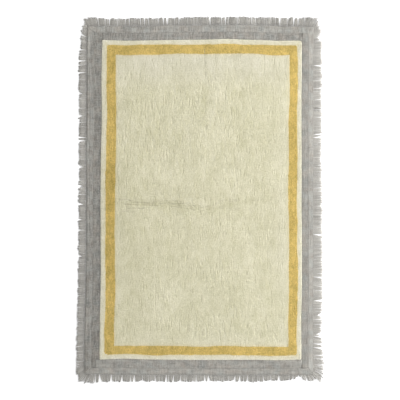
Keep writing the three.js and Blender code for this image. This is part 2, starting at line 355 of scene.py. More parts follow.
# Widths of the margin and the line on each side, how much narrower the line is at places along it,
# and how many rows of tufts fill them.
BANDS = by_side(
    margin=(23, 22, 22.5, 24),
    line=(43, 44, 48, 46),
    narrower=((0, 0), (1, 2, 0, 0, -1, 1, 2, 5, 9), (0, 0), (0, 0)),
)
MARGIN_ROWS = 7
LINE_ROWS = 12
LINE_WOBBLE = 2.8
FRESH_REACH = 70
DUST_REACH = 8
LINE_CORNERS = {"outer": 9, "outer_worn": 22}

# Below their ends the tufts are packed into one dense body of yarn on the backing.
PACKED = {"below": 3.4, "inset": 2.5, "step": 18, "gap": 0.1, "creased": 1.4, "under_tips": 0.3}

ROW_PITCH = 3.6
TUFT_PITCH = 3.7
TUFT_JITTER = 0.5
TUFT_WIDTH = 2.75
TUFT_WIDTHS = (0.9, 1.1)
TUFT_DEPTH = 3.0
TUFT_SIDES = 5
LEAN_STREAK = 0.75
LEAN_RANDOM = 0.5
HEIGHT_RANDOM = 0.35
HEIGHT_STREAK = 0.25
SKIRT_LEAN = 0.3
SPOT_RADIUS = 0.48
FIELD_STAGGER = 0.25
FIELD_SEEDS = {"top": 103, "middle": 106, "bottom": 106}

# Here and there part of a row lies deeper: a dash starts above this share of its unevenness, is full
# over so much more of it, and is so deep and so long.
DASH = {"above": 0.35, "over": 0.5, "depth": 1.5, "length": 24}

# Short fine wrinkles that the folds left, where the tufts part. Each group of them lies along a
# line from start to end, spreads to both sides of it and turns a few degrees from it.
WRINKLE_GROUPS = [
    # start, end, spread, count, length, part
    ((-430, -5), (-190, -7), 2, 4, 56, 0.7),
    ((-430, -18), (-180, -19), 2, 6, 56, 0.9),
    ((-425, -31), (-190, -31), 2, 6, 54, 0.9),
    ((-410, -44), (-270, -46), 2, 3, 50, 0.7),
    ((-405, -58), (-300, -62), 5, 4, 40, 0.5),
    ((-205, -6), (-85, -10), 4, 3, 44, 0.7),
    ((-200, -22), (-75, -26), 4, 4, 44, 0.75),
    ((-180, -38), (-80, -42), 4, 3, 40, 0.6),
    ((-84, -20), (-22, -54), 12, 6, 26, 0.6),
    ((-28, -58), (56, -38), 12, 6, 26, 0.5),
    ((40, -34), (120, -8), 9, 5, 30, 0.45),
    ((90, -4), (300, -4), 6, 6, 40, 0.4),
    ((60, -42), (290, -38), 8, 6, 40, 0.35),
    ((12, 760), (16, 570), 4, 5, 44, 0.6),
    ((60, 640), (80, 360), 40, 16, 26, 0.5),
    ((-10, 560), (0, 300), 40, 16, 24, 0.45),
    ((-190, 250), (-190, 180), 30, 6, 30, 0.5),
    ((-4, -540), (0, -740), 16, 8, 30, 0.45),
]
WRINKLE_WIDTH = 2.2
WRINKLE_DEPTH = 3.0
WRINKLE_LEAN = 1.8
WRINKLE_PARTS = (0.7, 1.0)
WRINKLE_LENGTHS = (0.6, 1.4)
WRINKLE_TURN = 0.05
WRINKLE_TAPER = 12
WRINKLE_SWAY = 2.5
MOST_LEAN = 2.5
FINER_SHARE = 0.4

# The yarn's colours: deep and pale, how light it is at each, the wave of its streaks, and how
# uneven it is. The deep colour goes where the yarn is darker, in its own tone and in the painted
# shade down between the tufts and in the folds.
CREAM = {
    "deep": (0.519, 0.498, 0.268, 1), "pale": (0.952, 0.913, 0.733, 1), "span": (0.6, 1.1),
    "streaks": (75, 25, 15), "spread": 1.2,
}
# The margin's cream is the field's undyed yarn painted lighter: painted light, where the rim catches more
# of it.
LIT_MARGIN_CREAM = {
    "deep": (0.55, 0.527, 0.33, 1), "pale": (0.995, 0.96, 0.83, 1), "span": (0.6, 1.1),
    "streaks": (50, 50, 16), "spread": 1.3,
}
MUSTARD = {
    "deep": (0.43, 0.325, 0.083, 1), "pale": (0.885, 0.665, 0.229, 1), "span": (0.48, 1.28),
    "streaks": (80, 30, 16), "spread": 3.7,
}
SHADOWED = (0.55, 0.51, 0.37, 1)
WHITISH = (0.84, 0.81, 0.78, 1)
MUSTARD_DUST = (0.76, 0.6, 0.2, 1)
# The packed yarns' colours are darker than the tufts': painted shade, down where little light reaches.
SHADED_PACKED_MUSTARD = (0.60, 0.44, 0.13, 1)
SHADED_PACKED_CREAM = (0.74, 0.69, 0.47, 1)


class Unevenness:
    """Smooth random unevenness from -1 to 1, one value to a cell and eased between cells."""

    def __init__(self, seed, cell_x, cell_y, cells=256):
        self.values = np.random.default_rng(seed).uniform(-1, 1, (cells, cells))
        self.cell_x = cell_x
        self.cell_y = cell_y

    def __call__(self, x, y):
        across = x / self.cell_x + 0 * y
        up = y / self.cell_y + 0 * x
        i, j = np.floor(across).astype(int), np.floor(up).astype(int)
        a, b = smooth(across - i), smooth(up - j)
        cells = len(self.values)
        low, high = [
            self.values[i % cells, k % cells] * (1 - a) + self.values[(i + 1) % cells, k % cells] * a
            for k in (j, j + 1)
        ]
        return low * (1 - b) + high * b


def uneven_twice(seeds, cells, finer_cells, x, y):
    """Unevenness of large cells, with a little of finer ones in it."""
    finer = Unevenness(seeds[1], *finer_cells)(x, y)
    return Unevenness(seeds[0], *cells)(x, y) + FINER_SHARE * finer


def crease_share(crease, x, y, spread=1.0):
    """How much of one fold is at a place: 1 in its middle, and fading to both sides and ends."""
    run, across = (x, y) if crease["along"] == "x" else (y, x)
    place = (run - crease["from"]) / (crease["to"] - crease["from"])
    fade_in = smooth((run - crease["from"]) / CREASE_FADE)
    fade_out = 1 - smooth((run - crease["to"] + CREASE_FADE) / CREASE_FADE)
    off = (across - eased(crease["path"], place)) / (crease["width"] * spread)
    return fade_in * fade_out * np.exp(-off * off)


def crease_depth(x, y):
    """How deep the folds press at a place."""
    depth = 0 * x
    for crease in CREASES:
        depth = depth + crease["depth"] * crease_share(crease, x, y)
    return depth


def from_rim(column, row):
    """How far in from the even panel's rim a place is."""
    return np.minimum(HALF_WIDTH - np.abs(column), HALF_LENGTH - np.abs(row))


def pile_height(column, row, x, y):
    """The pile's height over the floor: lumpy and creased, and rolled down at the rim."""
    inset = from_rim(column, row)
    roll = 1 - np.clip(inset / RIM["reach"], 0, 1)
    full = PILE_THICK - SHOULDER["drop"] * (1 - smooth(inset / SHOULDER["reach"])) - crease_depth(x, y)
    for lump in LUMPS:
        full = full + lump["height"] * np.sin(x / lump["wave_x"] + y / lump["wave_y"] + lump["shift"])
    return RIM["height"] + (full - RIM["height"]) * np.sqrt(1 - roll * roll)


def packed_top(column, row, x, y):
    opened = sum(crease_share(crease, x, y, 2.0) for crease in CREASES)
    height = pile_height(column, row, x, y) - PACKED["below"] - PACKED["creased"] * opened
    return height, {"gap": line_gap(column, row)}


def drawn_wrinkles():
    """Each wrinkle's start, direction, length and strength."""
    draw = np.random.default_rng(31)
    found = []
    for start, end, spread, count, usual, part in WRINKLE_GROUPS:
        start, end = np.array(start, float), np.array(end, float)
        span = np.hypot(*(end - start))
        angle = math.atan2(*(end - start)[::-1])
        for _ in range(count):
            length = usual * draw.uniform(*WRINKLE_LENGTHS)
            first = draw.uniform(0, max(span - length, 1)) / span
            turn = angle + draw.normal() * WRINKLE_TURN
            off = spread * draw.uniform(-1, 1)
            place = start + (end - start) * first + off * np.array([-math.sin(angle), math.cos(angle)])
            way = (math.cos(turn), math.sin(turn))
            found.append((place, way, length, part * draw.uniform(*WRINKLE_PARTS)))
    return found


WRINKLES = drawn_wrinkles()


def wrinkled(x, y):
    """How far the wrinkles part the tufts at each place: their share, and lean in X and Y."""
    sway = WRINKLE_SWAY * Unevenness(32, 18, 18)(x, y)
    parted, lean_x, lean_y = 0 * x, 0 * x, 0 * x
    for (start_x, start_y), (run_x, run_y), length, part in WRINKLES:
        from_x, from_y = x - start_x, y - start_y
        near = np.abs(from_x) + np.abs(from_y) < 2 * length + 20
        along = (from_x * run_x + from_y * run_y)[near]
        off = (from_y * run_x - from_x * run_y + sway)[near] / WRINKLE_WIDTH
        taper = smooth(along / WRINKLE_TAPER) * smooth((length - along) / WRINKLE_TAPER)
        share = part * taper * np.exp(-off * off)
        push = share * np.clip(2 * off, -1, 1)
        parted[near] = np.maximum(parted[near], share)
        lean_x[near] -= WRINKLE_LEAN * push * run_y
        lean_y[near] += WRINKLE_LEAN * push * run_x
    return parted, np.clip(lean_x, -MOST_LEAN, MOST_LEAN), np.clip(lean_y, -MOST_LEAN, MOST_LEAN)


def side_bands(index, along):
    """Widths of the margin and of margin and line together, at places along a side."""
    band = BANDS[index]
    outer = uneven_twice((40 + index, 50 + index), (110, 1), (26, 1), along, 0.0)
    inner = uneven_twice((60 + index, 70 + index), (120, 1), (30, 1), along, 0.0)
    narrower = eased(band["narrower"], side_share(index, along, pile_reach))
    both = band["margin"] + band["line"] - narrower
    return band["margin"] + LINE_WOBBLE * outer, both + LINE_WOBBLE * inner


def band_edges(x, y, which):
    """The four edges of the line's outside or inside, right, top, left and bottom, at places."""
    return (
        HALF_WIDTH - side_bands(1, y)[which],
        HALF_LENGTH - side_bands(2, -x)[which],
        side_bands(3, -y)[which] - HALF_WIDTH,
        side_bands(0, x)[which] - HALF_LENGTH,
    )


def past_edges(x, y, edges):
    """How far places lie outside a rectangle with these edges, and below 0 inside it."""
    right, top, left, bottom = edges
    return np.max([x - right, y - top, left - x, bottom - y], 0)


def line_gap(column, row):
    """How far a place is from the mustard line, to its outside or inside, and below 0 in it."""
    outside = past_edges(column, row, band_edges(column, row, 0))
    inside = -past_edges(column, row, band_edges(column, row, 1))
    return np.maximum(outside, inside)


def pressed_share(x, y):
    """How much painted shade a place has: in the folds, and in the patches, which paint it lighter below
    0.
    """
    share = sum(crease["press"] * crease_share(crease, x, y) for crease in CREASES)
    for patch in SHADE_PATCHES:
        off_x = (x - patch["at"][0]) / patch["reach"][0]
        off_y = (y - patch["at"][1]) / patch["reach"][1]
        share = share + patch["press"] * np.exp(-off_x * off_x - off_y * off_y)
    return share


def whitened_share(column, row):
    """How far the field is mixed towards a whiter colour: near the rug's top, and beside the line."""
    gap = line_gap(column, row)
    in_field = (from_rim(column, row) > WHITENED["inset"]) & (gap > 0)
    above = smooth((row - WHITENED["from"]) / (WHITENED["to"] - WHITENED["from"]))
    beside = np.exp(-np.maximum(gap, 0) / WHITENED["reach"]) * (1 + Unevenness(19, 90, 130)(column, row))
    return np.where(in_field, WHITENED["share"] * above + WHITENED["beside"] * beside, 0)


def rim_lean(place, half, ahead, behind):
    """How far tufts lean at the rims ahead of the panel's middle and behind it."""
    share = smooth((RIM_BEND - half + np.abs(place)) / RIM_BEND)
    return np.sign(place) * share * np.where(place > 0, RIM_LEAN[ahead], RIM_LEAN[behind])


def tufts(name, column, row, runs, finish, seed):
    """Cut tufts at places of the even panel. runs is 1 where their row runs along Y, or else 0."""
    draw = np.random.default_rng(seed)
    count = len(column)
    column = np.clip(column, -HALF_WIDTH, HALF_WIDTH)
    row = np.clip(row, -HALF_LENGTH, HALF_LENGTH)
    x, y = panel_place(column, row)

    # Rows lean together and part along streaks.
    streak_y = uneven_twice((11, 12), (8, 30), (23, 90), x, y)
    streak_x = uneven_twice((13, 14), (30, 8), (90, 23), x, y)
    dash_y = Unevenness(15, ROW_PITCH, DASH["length"])(x, y)
    dash_x = Unevenness(16, DASH["length"], ROW_PITCH)(x, y)
    dash = smooth((np.where(runs, dash_y, dash_x) - DASH["above"]) / DASH["over"])
    parted, part_x, part_y = wrinkled(x, y)
    lean_x = LEAN_STREAK * streak_y * runs + part_x + rim_lean(column, HALF_WIDTH, "right", "left")
    lean_y = LEAN_STREAK * streak_x * (1 - runs) + part_y + rim_lean(row, HALF_LENGTH, "top", "bottom")
    lean_x = lean_x + LEAN_RANDOM * draw.normal(size=count)
    lean_y = lean_y + LEAN_RANDOM * draw.normal(size=count)
    full = pile_height(column, row, x, y)
    height = full - WRINKLE_DEPTH * parted - DASH["depth"] * dash
    height = height + HEIGHT_RANDOM * draw.normal(size=count)
    height = height + HEIGHT_STREAK * (Unevenness(17, 14, 28)(x, y) + Unevenness(18, 45, 60)(x, y))
    height = np.maximum(height, full - PACKED["below"] + PACKED["under_tips"])

    # A tuft's end is a soft peak, whose skirt meets its neighbours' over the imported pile.
    j = np.arange(TUFT_SIDES)
    angle = draw.uniform(0, math.tau, count)[:, None] + j * math.tau / TUFT_SIDES
    wide = TUFT_WIDTH * draw.uniform(*TUFT_WIDTHS, (count, TUFT_SIDES))
    points = np.zeros((count, TUFT_SIDES + 1, 3))
    points[:, 1:, 0] = (x + SKIRT_LEAN * lean_x)[:, None] + wide * np.cos(angle)
    points[:, 1:, 1] = (y + SKIRT_LEAN * lean_y)[:, None] + wide * np.sin(angle)
    points[:, 1:, 2] = (height - TUFT_DEPTH)[:, None]
    points[:, 0] = np.stack([x + lean_x, y + lean_y, height], -1)
    tip = (TUFT_SIDES + 1) * np.arange(count)[:, None]
    faces = np.stack([tip + 0 * j, tip + 1 + j, tip + 1 + (j + 1) % TUFT_SIDES], -1).reshape(-1, 3)

    # Each tuft has its own square of the map, with its tip in the middle.
    side = math.ceil(math.sqrt(count))
    cell = np.stack([np.arange(count) % side, np.arange(count) // side], -1) + 0.5
    spot = np.zeros((TUFT_SIDES + 1, 2))
    turn = j * math.tau / TUFT_SIDES
    spot[1:] = SPOT_RADIUS * np.stack([np.cos(turn), np.sin(turn)], -1)
    layout = ((cell[:, None] + spot) / side).reshape(-1, 2)

    gap = np.maximum(line_gap(column, row), 0)
    numbers = {
        "tone": draw.normal(size=count),
        "pressed": pressed_share(x, y),
        "parted": parted,
        "fresh": 1 - smooth(gap / FRESH_REACH),
        "dusted": np.where(gap > 0, np.exp(-gap / DUST_REACH), 0),
        "whitened": whitened_share(column, row),
    }
    numbers = {number: np.repeat(values, TUFT_SIDES + 1) for number, values in numbers.items()}
    numbers["rise"] = np.tile([1.0] + [0.0] * TUFT_SIDES, count)
    points, layout = points.reshape(-1, 3), layout[faces.ravel()]
    return sewn_piece(name, points, [faces], finish, ["pile_panel"], numbers, layout)


def pile_finish(name, yarn):
    """Cut cotton yarn: pale at the tips, with painted shade that makes it darker and deeper in colour
    down between them, in the folds and wrinkles and in the darker patches.

    Beside the line, loose mustard fibres lie on the cream.
    """
    finish = Finish(name)
    tone = finish.number("tone")
    rise = finish.number("rise")
    # Painted shade: the folds and the darker patches make the yarn darker, the lighter patches lighter.
    kept = 0.03 * finish.number("fresh") - 0.07 * finish.number("pressed")
    streak = finish.unevenness(yarn["streaks"])
    blotch = finish.unevenness((26, 20, 9), shift=3.0)
    patch = finish.unevenness((7, 5, 7), shift=8.0)
    clump = finish.unevenness((170, 110, 60), detail=3.0, shift=5.0)
    fibre = finish.unevenness((1100, 1100, 300), detail=3.0)
    lot = 0.03 * tone + 0.12 * streak + 0.2 * blotch + 0.16 * patch + 0.17 * clump
    # The tufts' skirts are painted darker than their tips, as painted shade down between them.
    lit = (0.985 + kept + yarn["spread"] * lot + 0.2 * fibre) * (0.86 + 0.14 * rise)
    darkest, lightest = yarn["span"]
    colour = finish.mixed((lit - darkest) / (lightest - darkest), yarn["deep"], yarn["pale"])
    shadowed = finish.mixed(finish.number("parted"), colour, SHADOWED)
    whitened = finish.mixed(finish.number("whitened"), shadowed, WHITISH)
    dusted = finish.mixed(0.33 * finish.number("dusted"), whitened, MUSTARD_DUST)
    return finish.cotton(dusted, fibre, 0.0012, sheen=0.15)


def packed_finish():
    """The same yarns further down, in darker colours as painted shade where little light comes between
    the tufts.
    """
    finish = Finish("packed cotton yarn")
    fibre = finish.unevenness((500, 500, 500), detail=3.0)
    clump = finish.unevenness((170, 110, 60), shift=5.0)
    undyed = finish.mixed(finish.number("gap") / 4 + 0.5, SHADED_PACKED_MUSTARD, SHADED_PACKED_CREAM)
    colour = finish.shaded(undyed, 0.9 + 0.5 * fibre + 0.3 * clump)
    return finish.cotton(colour, fibre, 0.001)


def band_rows():
    """Places of the tufts in the margin and the line, whose rows follow the edge."""
    draw = np.random.default_rng(5)
    found = []
    for index, side in enumerate(SIDES):
        band = BANDS[index]
        before, after = both_reaches(index, pile_reach)
        for lane in range(MARGIN_ROWS + LINE_ROWS):
            in_margin = lane < MARGIN_ROWS
            share = (lane + 0.5) / MARGIN_ROWS if in_margin else (lane - MARGIN_ROWS + 0.5) / LINE_ROWS
            nominal = share * band["margin"] if in_margin else band["margin"] + share * band["line"]
            start, end = nominal - before, after - nominal
            count = round((end - start) / TUFT_PITCH)
            along = start + (np.arange(count) + 0.5) * (end - start) / count
            along = along + draw.uniform(-TUFT_JITTER, TUFT_JITTER, count)
            margin, both = side_bands(index, along)
            inset = share * margin if in_margin else margin + share * (both - margin)
            inset = inset + draw.uniform(-TUFT_JITTER, TUFT_JITTER, count)
            x, y = on_rug(index, along, side["pile"] - inset)
            found.append(np.stack([x, y, np.full(count, index % 2)]))
    return np.concatenate(found, 1)


def field_rows():
    """Places of the tufts in the field, whose rows run along Y between the mustard lines."""
    draw = np.random.default_rng(6)
    inner = [side["pile"] - band["margin"] - band["line"] for side, band in zip(SIDES, BANDS)]
    columns = round((inner[1] + inner[3]) / ROW_PITCH)
    rows = round((inner[0] + inner[2]) / TUFT_PITCH)
    column, row = np.meshgrid(np.arange(columns), np.arange(rows), indexing="ij")
    u = (column.ravel() + 0.5) / columns
    v = (row.ravel() + 0.5 + FIELD_STAGGER * (2 * (column.ravel() % 2) - 1)) / rows
    x = -inner[3] + u * (inner[1] + inner[3])
    y = -inner[0] + v * (inner[0] + inner[2])
    right, top, left, bottom = band_edges(x, y, 1)
    x = left + u * (right - left) + draw.uniform(-TUFT_JITTER, TUFT_JITTER, x.size)
    y = bottom + v * (top - bottom) + draw.uniform(-TUFT_JITTER, TUFT_JITTER, x.size)
    return np.stack([x, y, np.ones(x.size)])


def rounded_inside(x, y, edges, radii):
    """Whether places lie inside a rectangle with these edges and one radius for each corner."""
    right, top, left, bottom = edges
    inside = past_edges(x, y, edges) < 0
    corners = [(right, top, 1, 1), (left, top, -1, 1), (left, bottom, -1, -1), (right, bottom, 1, -1)]
    for (edge_x, edge_y, way_x, way_y), radius in zip(corners, radii):
        over_x = way_x * (x - edge_x) + radius
        over_y = way_y * (y - edge_y) + radius
        inside &= (over_x <= 0) | (over_y <= 0) | (np.hypot(over_x, over_y) <= radius)
    return inside


cream_pile = pile_finish("undyed cream cotton pile", CREAM)
margin_pile = pile_finish("undyed cream cotton margin", LIT_MARGIN_CREAM)
mustard_pile = pile_finish("mustard dyed cotton pile", MUSTARD)
packed_floor = BACKING_THICK + PACKED["gap"]
packed_pile = panel_layer(
    "packed_pile", PACKED["step"], PACKED["inset"], packed_floor, packed_top, packed_finish()
)

field = field_rows()
field_cuts = np.array_split(np.argsort(-field[1], kind="stable"), len(FIELD_SEEDS))
for (part, seed), picked in zip(FIELD_SEEDS.items(), field_cuts):
    x, y, runs = field[:, np.sort(picked)]
    tufts(f"field_pile_{part}", x, y, runs, cream_pile, seed)

bands = band_rows()
outer = LINE_CORNERS["outer"]
outer_radii = (outer, outer, LINE_CORNERS["outer_worn"], outer)
in_line = rounded_inside(*bands[:2], band_edges(*bands[:2], 0), outer_radii)
x, y, runs = bands[:, in_line]
tufts("mustard_line", x, y, runs, mustard_pile, 111)
x, y, runs = bands[:, ~in_line]
tufts("cream_margin", x, y, runs, margin_pile, 112)


# The border: four strips of thick grey cotton cloth, woven from slubby yarn and sewn flat round
# the panel. The long strips run the rug's full height, and the short ones are set in between.

# Each side's strip, and the tape outside it: their widths, how far past the panel's edge the seams
# with the next strips lie, and how the tape's outer edge wanders. Then the painted light on the
# strip and on the tape, each side lighter or darker as the light falls on it; how far the threads
# along it, those across it and knots show; and how much lighter or darker they are at places along
# the side. A ridge is where a tape is turned over the heads of its fringe. The rolls are how deep
# and how far in the strip's inner edge, and how deep the tape's outer one, turn.
STRIPS = by_side(
    strip=(41, 31, 38, 40),
    tape=(31, 23, 35, 34),
    seams=((22, 3), (3, 3), (3, 1), (1, 22)),
    drift=(
        (-3, 1, 2, 1, 0, 2, -1, -2, -3),
        (2, 0, 1, 0, -1, 0, -1, -1, -1),
        (-2, 0, 4, 4, 3, 2, -4, -4, -5),
        (3, 2, 1, 1, -2, -3, -2, 2, 1),
    ),
    shades=((1.01, 0.98), (0.86, 0.945), (0.885, 0.91), (0.86, 0.875)),
    threads=((0.9, 1.0, 1.0), (0.9, 0.35, 0.9), (0.9, 1.6, 1.4), (1.7, 0.8, 1.7)),
    dye=(
        (0.95, 0.995, 1.0, 0.99, 0.99),
        (1.02, 1.0, 1.0, 1.02, 0.955),
        (0.97, 1.02, 1.0, 0.98, 1.0),
        (1.03, 1.015, 0.985, 0.945, 0.925),
    ),
    ridge=(0.2, 0.0, 0.2, 0.8),
    inner_roll=((1.7, 3.5), (0.5, 2.5), (2.4, 3.5), (0.3, 2.5)),
    outer_roll=(1.2, 0.0, 1.2, 0.9),
)
STRIP_HEIGHTS = (7.8, 5.0)
STRIP_ROLLS = {"joined": 0.3, "outer": (0.12, 1.5)}
STRIP_CREASE = 0.4
SEWN_GAP = 0.3
CLOTH_STEP = 5.0
CLOTH_LEAST = 0.6
# The panel's corners at both ends of each long strip, which fills them out where they are rounded.
LONG_CORNERS = {"right": ("bottom right", "top right"), "left": ("top left", "bottom left")}
ROUND_STATIONS = [0.0, 0.04, 0.13, 0.3, 0.6, 1.0]
RIB_PITCH = 5.0
RIB_POINTS = 4
RIB_DEPTH = 0.45
SLUB_DEPTH = 0.35
RIPPLE_AT = -26
RIPPLE_DEPTH = 0.5
RIPPLE_WAVE = 9.0
RIPPLE_REACH = 26
RIDGE = {"inset": 9, "reach": 3.2}
WEAVE_PITCH = 0.0026
WEAVE_RELIEF = 0.0006
STRIP_CLOTH = {
    "name": "grey slub cloth", "part": 0,
    "dark": (0.225, 0.216, 0.196, 1), "pale": (0.43, 0.415, 0.376, 1),
}
WARM = (1.025, 0.9875, 0.965, 1)
COOL = (0.975, 1.0125, 1.035, 1)


def root_reach(index):
    return pile_reach(index) + STRIPS[index]["strip"] + STRIPS[index]["tape"]


def root_line(index, along):
    """How far out a side's tape ends and its fringe starts."""
    return root_reach(index) + eased(STRIPS[index]["drift"], side_share(index, along, root_reach))


def header_line(index, along):
    """How far out a side's strip ends and its tape starts."""
    pile_drift = pile_edge(index, along) - pile_reach(index)
    root_drift = root_line(index, along) - root_reach(index)
    return pile_reach(index) + STRIPS[index]["strip"] + (pile_drift + root_drift) / 2


def corner_reaches(index, line, short=0):
    """How far each way a side's line runs to where the next sides' lines meet it, less a little."""
    before, after = line((index + 3) % 4, np.inf), line((index + 1) % 4, -np.inf)
    return float(before) - short, float(after) - short


def ribbed(index, along, across, seed):
    """Relief of ribbed cloth, at places along it and across from its edge: ribs, slubs and folds."""
    rib = across / RIB_PITCH
    lane = np.floor(rib)
    strength = 0.6 + 0.4 * Unevenness(seed, 60, 1)(along, 7.3 * lane)
    groove = (1 - np.abs(np.sin(math.pi * rib))) * strength
    slub = Unevenness(seed + 1, 22, 1)(along, 11.1 * lane)
    weft = Unevenness(seed + 2, 7, 30)(along, across)
    x, y = on_rug(index, along, pile_reach(index) + across)
    relief = -RIB_DEPTH * groove + SLUB_DEPTH * slub + 0.5 * SLUB_DEPTH * weft
    off = (y - RIPPLE_AT) / RIPPLE_REACH
    ripple = np.exp(-off * off) * np.sin(math.tau * (y + 3 * weft) / RIPPLE_WAVE)
    return relief + RIPPLE_DEPTH * ripple - STRIP_CREASE * crease_depth(x, y)


def closed_rings(pieces, rings, points):
    """Faces over the rings of so many pieces, of so many points each, and caps at both ends."""
    grid = np.arange(pieces * rings * points).reshape(pieces, rings, points)
    beside = np.roll(grid, -1, 2)
    walls = np.stack([grid[:, :-1], beside[:, :-1], beside[:, 1:], grid[:, 1:]], -1)
    return [walls.reshape(-1, 4), grid[:, 0, ::-1], grid[:, -1]]


def woven_band(kind, node, index, start, end, heights, rolls, ridge, seed, finish):
    """A closed band of ribbed cloth between two lines of places: start and end are X and Y.

    heights are its top's at the two lines, and rolls is how deep and how far in each edge is
    rolled down. ridge is the height of a soft ridge near its outer edge.
    """
    width = float(np.median(np.hypot(*(end - start))))
    lanes = max(2, round(width / RIB_PITCH)) * RIB_POINTS
    share = np.linspace(0, 1, lanes + 1)
    x, y = start[:, :, None] + (end - start)[:, :, None] * share
    turn = math.radians(SIDES[index]["turn"])
    along = x * math.cos(turn) + y * math.sin(turn)
    across = share * lanes / RIB_POINTS * RIB_PITCH + 0 * along
    (inner_deep, inner_reach), (outer_deep, outer_reach) = rolls
    drop = np.asarray(inner_deep)[..., None] * (1 - smooth(share * width / inner_reach))
    drop = drop + outer_deep * (1 - smooth((1 - share) * width / outer_reach))
    level = heights[0] + (heights[1] - heights[0]) * share
    off = ((1 - share) * width - RIDGE["inset"]) / RIDGE["reach"]
    z = level + ribbed(index, along, across, seed) - drop + ridge * np.exp(-off * off)
    upper = np.stack([x, y, np.maximum(z, CLOTH_LEAST)], -1)
    ring = np.concatenate([upper, upper[:, [-1, 0]] * (1, 1, 0)], 1)
    stations, size = ring.shape[:2]
    # How much lighter or darker the band is at places along its side.
    dye = eased(STRIPS[index]["dye"], np.linspace(0, 1, stations))
    side = SIDES[index]["name"]
    return sewn_piece(
        f"{kind}_{side}", ring.reshape(-1, 3), closed_rings(1, stations, size), finish,
        [f"{node}_{side}"], {"dye": np.repeat(dye, size)},
    )


def woven_finish(cloth, index):
    """Grey melange cloth: slubby yarns both ways, some paler and some darker, in a plain weave."""
    lengthways, crossways, knots = STRIPS[index]["threads"]
    along_y = index % 2 == 1
    own = 17.0 * index + 71.0 * cloth["part"]
    finish = Finish(f"{cloth['name']} {SIDES[index]['name']}")
    weave = finish.plain_weave(WEAVE_PITCH)

    def yarns(run, step, shift, sway):
        """Unevenness of the yarns, whose places change slowly along them and fast across."""
        place = (step, run, 40) if along_y else (run, step, 40)
        return finish.unevenness(place, 2.0, own + shift, sway)

    lengthwise = yarns(22, 130, 0.0, 0.6)
    band = yarns(6, 48, 9.0, 0.3)
    crosswise = yarns(150, 22, 5.0, 0.5)
    picks = yarns(330, 30, 7.0, 0.0)
    blotch = finish.unevenness((26, 26, 26), shift=13.0)
    knot = finish.unevenness((170, 170, 40), shift=own + 19.0)
    fleck = finish.unevenness((420, 420, 420))
    slubs = lengthways * (lengthwise + 0.7 * band) + crossways * (0.9 * crosswise + 1.2 * picks)
    share = 0.5 + slubs + 0.9 * blotch + knots * knot + 0.5 * fleck
    colour = finish.mixed(share, cloth["dark"], cloth["pale"])
    cast = finish.mixed(0.5 + 2.5 * finish.unevenness((24, 24, 24), shift=own + 31.0), WARM, COOL)
    tinted = finish.node("VectorMath", {"operation": "MULTIPLY"}, {0: colour, 1: cast})
    # Painted light: the weave's hollows darker as painted shade, and each side's strip and tape lighter
    # or darker as the light falls on it.
    light = (0.84 + 0.22 * weave) * STRIPS[index]["shades"][cloth["part"]] * finish.number("dye")
    return finish.cotton(finish.shaded(tinted, light), weave + 0.8 * fleck, WEAVE_RELIEF)


strip_finishes = [woven_finish(STRIP_CLOTH, index) for index in range(4)]


def border_strip(index):
    strip = STRIPS[index]
    is_long = index % 2 == 1
    panel_ends = corner_reaches(index, pile_edge)
    seam_ends = [reach + seam for reach, seam in zip(panel_ends, strip["seams"])]
    first, last = corner_reaches(index, header_line, SEWN_GAP) if is_long else seam_ends
    along = np.linspace(-first, last, round((first + last) / CLOTH_STEP) + 1)
    radii = []
    if is_long:
        radii = [PANEL_CORNERS[corner] for corner in LONG_CORNERS[SIDES[index]["name"]]]
        below, above = [radius * np.array(ROUND_STATIONS) for radius in radii]
        seams = [-panel_ends[0] - SEWN_GAP, panel_ends[1] + SEWN_GAP]
        steps = np.concatenate([seams, below - panel_ends[0], panel_ends[1] - above])
        clear = np.min(np.abs(along[:, None] - steps), 1) > SEWN_GAP
        along = np.sort(np.concatenate([along[clear], steps]))
    is_below = along < -panel_ends[0] - SEWN_GAP / 2
    is_above = along > panel_ends[1] + SEWN_GAP / 2
    inner = pile_edge(index, along) + SEWN_GAP
    if is_long:
        inner = inner + is_below * strip["seams"][0] + is_above * strip["seams"][1]
    for depth, radius in zip((along + panel_ends[0], panel_ends[1] - along), radii):
        from_centre = np.clip(radius - depth, 0, radius)
        fillet = radius - np.sqrt(radius ** 2 - from_centre ** 2)
        inner = inner - np.where(depth > -SEWN_GAP / 2, fillet, 0)
    deep, reach = strip["inner_roll"]
    inner_roll = (np.where(is_below | is_above, STRIP_ROLLS["joined"], deep), reach)
    start = np.stack(on_rug(index, along, inner))
    end = np.stack(on_rug(index, along, header_line(index, along) - SEWN_GAP))
    made = woven_band(
        "border_strip", "border", index, start, end, STRIP_HEIGHTS, (inner_roll, STRIP_ROLLS["outer"]),
        0.0, 200 + 10 * index, strip_finishes[index],
    )
    return made, (strip["strip"] / 1000, (first + last) / 1000)


strips = [border_strip(index) for index in range(4)]


# The trim: a woven cotton tape on each side, sewn along the border strip and mitred at the
# corners. Its outer edge carries the fringe, behind a row of stitches that pulls the tape in.
TAPE_HEIGHTS = (5.0, 2.7)
TAPE_ROLLS = {"inner": (0.12, 1.5), "outer_reach": 7.0}
MITRE_GAP = 0.25
TAPE_CLOTH = {
    "name": "grey trim tape", "part": 1,
    "dark": (0.25, 0.241, 0.219, 1), "pale": (0.475, 0.46, 0.42, 1),
}
tape_finishes = [woven_finish(TAPE_CLOTH, index) for index in range(4)]


